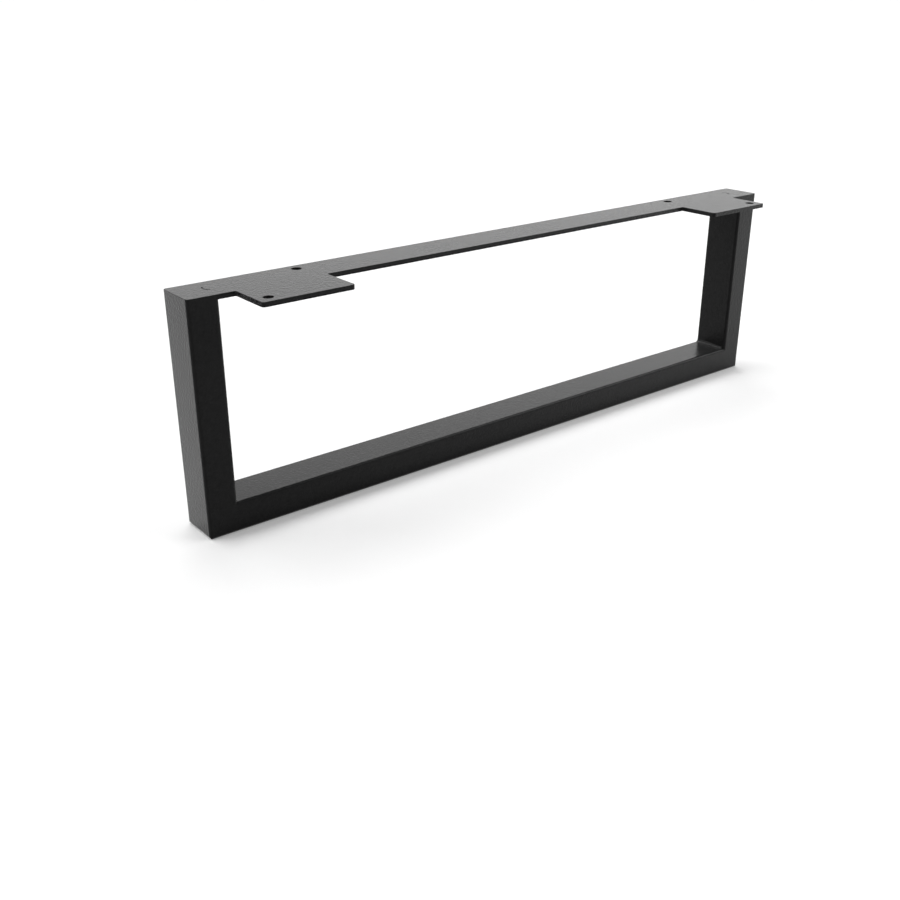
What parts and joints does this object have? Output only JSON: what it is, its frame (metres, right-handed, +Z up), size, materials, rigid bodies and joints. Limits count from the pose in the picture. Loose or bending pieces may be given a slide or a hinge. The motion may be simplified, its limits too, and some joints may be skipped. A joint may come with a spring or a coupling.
{
  "type": "furniture leg",
  "caption": "Low, wide frame leg welded from rectangular steel tube, with a floor rail and a flat top plate whose forward pads take screws.",
  "frame": {"origin": "centre of the foot face, on the floor under the middle of the bottom rail", "axes": "+X along the frame's length, +Y from the pads to the flush back face, +Z up to the plate"},
  "size_m": [0.507, 0.0605, 0.15],
  "materials": {
    "black_powder_coat": "satin fine-texture powder coat"
  },
  "bodies": {
    "root": {"bottom_rail": "black_powder_coat", "left_upright": "black_powder_coat", "right_upright": "black_powder_coat", "top_plate": "black_powder_coat", "left_corner_weld": "black_powder_coat", "right_corner_weld": "black_powder_coat"}
  },
  "joints": []
}
